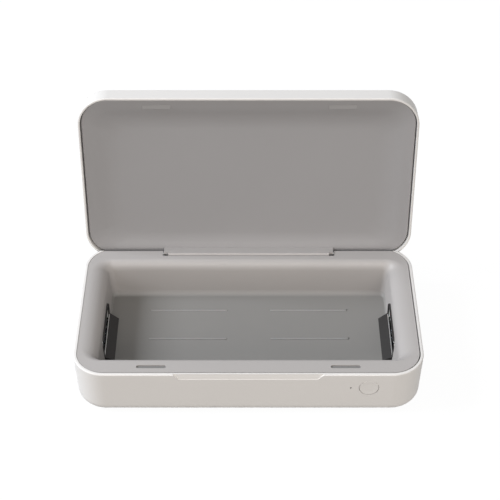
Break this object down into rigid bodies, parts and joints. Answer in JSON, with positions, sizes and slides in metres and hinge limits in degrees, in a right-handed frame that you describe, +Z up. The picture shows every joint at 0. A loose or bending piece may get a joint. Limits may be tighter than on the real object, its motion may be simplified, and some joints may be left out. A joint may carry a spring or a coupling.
{
  "type": "uv sanitizer box for phones",
  "caption": "Low rounded box with a lid on a rear hinge, a deep cavity with a ribbed charging floor, an ultraviolet lamp in each end wall and a round front button.",
  "frame": {"origin": "centre of the foot ring's face, on the surface that the box stands on", "axes": "+X along the box to the right seen from the front, +Y from the front to the hinge at the rear, +Z up"},
  "size_m": [0.228, 0.1493, 0.1563],
  "materials": {
    "case_white": "satin",
    "liner_grey": "satin",
    "lid_liner_grey": "satin",
    "deck_grey": "satin",
    "copper": "lacquered wire",
    "ferrite_black": "matte",
    "board_green": "satin",
    "chip_black": "matte",
    "steel": "plated",
    "lens_white": "gloss",
    "quartz": "clear",
    "cap_white": "matte",
    "polished_aluminium": "polished",
    "cradle_black": "matte",
    "magnet_nickel": "plated",
    "foot_silicone": "matte"
  },
  "bodies": {
    "base": {"base_shell": "case_white", "bottom_cover": "case_white", "base_liner": "liner_grey", "charging_deck": "deck_grey", "charging_coil": "copper", "coil_ferrite": "ferrite_black", "main_board": "board_green", "main_board_parts": "chip_black", "usb_c_socket": "steel", "lamp_driver_board": "board_green", "lamp_driver_transformer": "ferrite_black", "button_board": "board_green", "tact_switch": "chip_black", "status_led": "lens_white", "light_pipe": "lens_white", "lid_sensor": "chip_black", "uv_lamp_right": "quartz", "uv_lamp_left": "quartz", "lamp_end_caps": "cap_white", "lamp_reflector_right": "polished_aluminium", "lamp_reflector_left": "polished_aluminium", "lamp_cradle_right": "cradle_black", "lamp_cradle_left": "cradle_black", "base_magnets": "magnet_nickel", "hinge_pin": "steel", "foot_ring": "foot_silicone", "case_screws": "steel"},
    "lid": {"lid_shell": "case_white", "lid_liner": "lid_liner_grey", "hinge_knuckle": "liner_grey", "knuckle_screws": "steel", "friction_sleeves": "steel", "latch_tabs": "steel", "sensor_magnet": "magnet_nickel"},
    "power_button": {"power_button": "case_white", "switch_plunger": "chip_black"}
  },
  "joints": [
    {"name": "lid_hinge", "type": "hinge", "parent": "base", "child": "lid", "pos_m": [0, 0.0587, 0.0344], "axis": [1, 0, 0], "range_deg": [0, 95.3]},
    {"name": "power_button", "type": "slide", "parent": "base", "child": "power_button", "axis": [0, 1, 0], "range_m": [0, 0.0005], "stiffness_N_per_m": 900, "springref_m": -0.0003}
  ]
}
